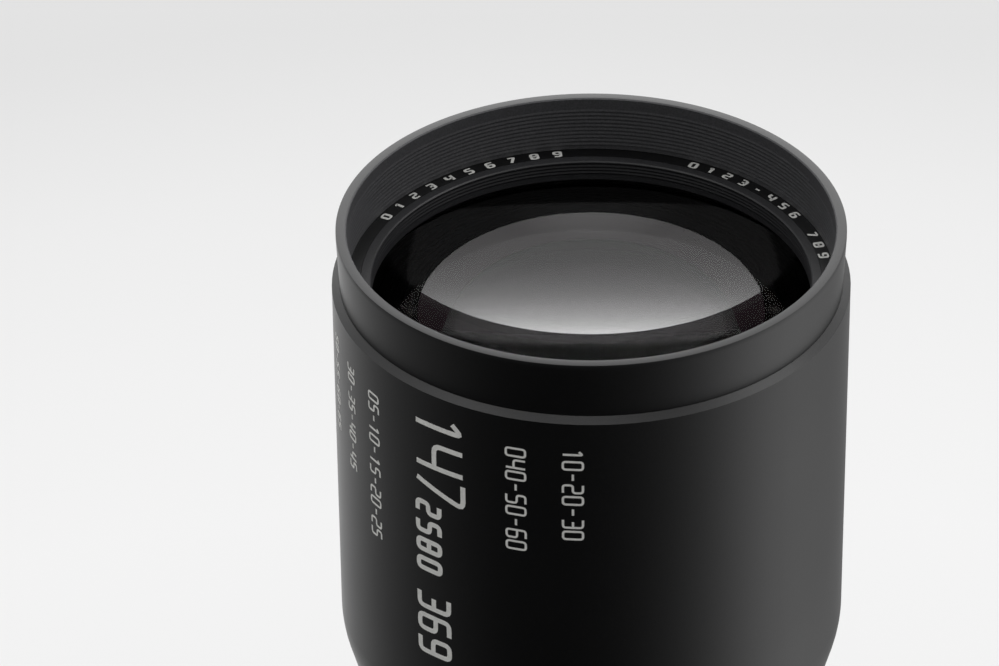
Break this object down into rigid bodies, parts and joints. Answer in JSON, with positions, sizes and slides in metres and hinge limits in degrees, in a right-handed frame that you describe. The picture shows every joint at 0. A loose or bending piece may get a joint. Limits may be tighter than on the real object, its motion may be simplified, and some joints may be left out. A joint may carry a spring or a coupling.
{
  "type": "super telephoto lens",
  "caption": "Long manual-focus telephoto lens with bayonet mount, iris ring, wide ribbed focus ring, turning tripod collar with clamp and foot, and a filter thread in its front ring.",
  "frame": {"origin": "centre of the bayonet flange, on the face that meets the camera", "axes": "+Z along the optical axis towards the front element, +Y towards the tripod foot, +X towards the clamp knob"},
  "size_m": [0.1014, 0.1119, 0.33],
  "materials": {
    "black_anodised": "satin black anodised",
    "front_anodised": "finely bead blasted, black anodised",
    "matt_black_inside": "matt black paint",
    "name_ring_black": "smooth black with white marks",
    "bayonet_chrome": "turned, chromed brass",
    "black_screw_steel": "black oxide",
    "bright_steel": "plain steel",
    "iris_steel": "blackened spring steel",
    "cam_brass": "turned brass",
    "grip_rubber": "moulded, matt",
    "coated_glass": "polished and coated"
  },
  "bodies": {
    "barrel": {"bayonet_mount": "bayonet_chrome", "mount_screws": "bright_steel", "mount_shim": "cam_brass", "rear_light_mask": "matt_black_inside", "rear_barrel": "black_anodised", "rear_lens_cell": "matt_black_inside", "rear_back_element": "coated_glass", "rear_middle_element": "coated_glass", "rear_lens_spacer": "matt_black_inside", "rear_front_element": "coated_glass", "rear_lock_ring": "matt_black_inside", "main_barrel": "black_anodised", "collar_lock_ring": "black_anodised", "collar_grub_screws": "black_screw_steel", "iris_housing": "matt_black_inside", "iris_lock_ring": "matt_black_inside", "index_ring": "black_anodised", "focus_stop_screw": "bright_steel", "guide_tube": "matt_black_inside", "front_barrel": "front_anodised", "front_barrel_screws": "black_screw_steel", "light_baffle": "matt_black_inside", "front_ring": "front_anodised", "name_ring": "name_ring_black", "front_lock_ring": "matt_black_inside", "front_cell": "matt_black_inside", "front_element": "coated_glass", "front_spacer": "matt_black_inside", "second_element": "coated_glass", "third_element": "coated_glass", "front_group_lock": "matt_black_inside"},
    "collar": {"tripod_collar": "black_anodised", "tripod_foot": "black_anodised", "foot_screws": "black_screw_steel"},
    "clamp_slide": {"clamp_pad": "cam_brass"},
    "clamp_handle": {"clamp_screw": "bright_steel", "clamp_knob": "black_anodised"},
    "aperture_drive": {"aperture_ring": "black_anodised", "aperture_drive_screw": "black_screw_steel", "iris_actuator_ring": "matt_black_inside"},
    "focus_drive": {"focus_ring": "black_anodised", "focus_ring_screws": "bright_steel", "focus_grip": "grip_rubber", "cam_sleeve": "cam_brass"},
    "focus_carriage": {"focus_cell": "matt_black_inside", "guide_pins": "bright_steel", "focus_back_element": "coated_glass", "focus_front_element": "coated_glass", "focus_lock_ring": "matt_black_inside"},
    "blade_01": {"iris_blade_01": "iris_steel"},
    "blade_02": {"iris_blade_02": "iris_steel"},
    "blade_03": {"iris_blade_03": "iris_steel"},
    "blade_04": {"iris_blade_04": "iris_steel"},
    "blade_05": {"iris_blade_05": "iris_steel"},
    "blade_06": {"iris_blade_06": "iris_steel"},
    "blade_07": {"iris_blade_07": "iris_steel"},
    "blade_08": {"iris_blade_08": "iris_steel"},
    "blade_09": {"iris_blade_09": "iris_steel"},
    "blade_10": {"iris_blade_10": "iris_steel"}
  },
  "joints": [
    {"name": "collar_turn", "type": "hinge", "parent": "barrel", "child": "collar", "pos_m": [0, 0, 0.0521], "axis": [0, 0, 1], "continuous": true},
    {"name": "clamp_press", "type": "slide", "parent": "collar", "child": "clamp_slide", "axis": [-1, 0, 0], "range_m": [0, 0.0005]},
    {"name": "clamp_turn", "type": "hinge", "parent": "clamp_slide", "child": "clamp_handle", "pos_m": [0.05, 0, 0.0521], "axis": [-1, 0, 0], "range_deg": [0, 180.1]},
    {"name": "aperture_turn", "type": "hinge", "parent": "barrel", "child": "aperture_drive", "pos_m": [0, 0, 0.0941], "axis": [0, 0, 1], "range_deg": [0, 30]},
    {"name": "focus_turn", "type": "hinge", "parent": "barrel", "child": "focus_drive", "pos_m": [0, 0, 0.169], "axis": [0, 0, 1], "range_deg": [0, 150.1]},
    {"name": "focus_slide", "type": "slide", "parent": "barrel", "child": "focus_carriage", "axis": [0, 0, -1], "range_m": [0, 0.02]},
    {"name": "blade_01_swing", "type": "hinge", "parent": "barrel", "child": "blade_01", "pos_m": [0.0235, 0, 0.09], "axis": [0, 0, 1], "range_deg": [0, 29.1]},
    {"name": "blade_02_swing", "type": "hinge", "parent": "barrel", "child": "blade_02", "pos_m": [0.01901, 0.01381, 0.09], "axis": [0, 0, 1], "range_deg": [0, 29.1]},
    {"name": "blade_03_swing", "type": "hinge", "parent": "barrel", "child": "blade_03", "pos_m": [0.00726, 0.02235, 0.09], "axis": [0, 0, 1], "range_deg": [0, 29.1]},
    {"name": "blade_04_swing", "type": "hinge", "parent": "barrel", "child": "blade_04", "pos_m": [-0.00726, 0.02235, 0.09], "axis": [0, 0, 1], "range_deg": [0, 29.1]},
    {"name": "blade_05_swing", "type": "hinge", "parent": "barrel", "child": "blade_05", "pos_m": [-0.01901, 0.01381, 0.09], "axis": [0, 0, 1], "range_deg": [0, 29.1]},
    {"name": "blade_06_swing", "type": "hinge", "parent": "barrel", "child": "blade_06", "pos_m": [-0.0235, 0, 0.09], "axis": [0, 0, 1], "range_deg": [0, 29.1]},
    {"name": "blade_07_swing", "type": "hinge", "parent": "barrel", "child": "blade_07", "pos_m": [-0.01901, -0.01381, 0.09], "axis": [0, 0, 1], "range_deg": [0, 29.1]},
    {"name": "blade_08_swing", "type": "hinge", "parent": "barrel", "child": "blade_08", "pos_m": [-0.00726, -0.02235, 0.09], "axis": [0, 0, 1], "range_deg": [0, 29.1]},
    {"name": "blade_09_swing", "type": "hinge", "parent": "barrel", "child": "blade_09", "pos_m": [0.00726, -0.02235, 0.09], "axis": [0, 0, 1], "range_deg": [0, 29.1]},
    {"name": "blade_10_swing", "type": "hinge", "parent": "barrel", "child": "blade_10", "pos_m": [0.01901, -0.01381, 0.09], "axis": [0, 0, 1], "range_deg": [0, 29.1]}
  ],
  "couplings": [
    {"joint": "clamp_turn", "follows": "clamp_press", "rad_per_m": 6283.2},
    {"joint": "focus_turn", "follows": "focus_slide", "rad_per_m": 130.9},
    {"joint": "blade_01_swing", "follows": "aperture_turn", "ratio": 0.96936},
    {"joint": "blade_02_swing", "follows": "aperture_turn", "ratio": 0.96936},
    {"joint": "blade_03_swing", "follows": "aperture_turn", "ratio": 0.96936},
    {"joint": "blade_04_swing", "follows": "aperture_turn", "ratio": 0.96936},
    {"joint": "blade_05_swing", "follows": "aperture_turn", "ratio": 0.96936},
    {"joint": "blade_06_swing", "follows": "aperture_turn", "ratio": 0.96936},
    {"joint": "blade_07_swing", "follows": "aperture_turn", "ratio": 0.96936},
    {"joint": "blade_08_swing", "follows": "aperture_turn", "ratio": 0.96936},
    {"joint": "blade_09_swing", "follows": "aperture_turn", "ratio": 0.96936},
    {"joint": "blade_10_swing", "follows": "aperture_turn", "ratio": 0.96936}
  ]
}
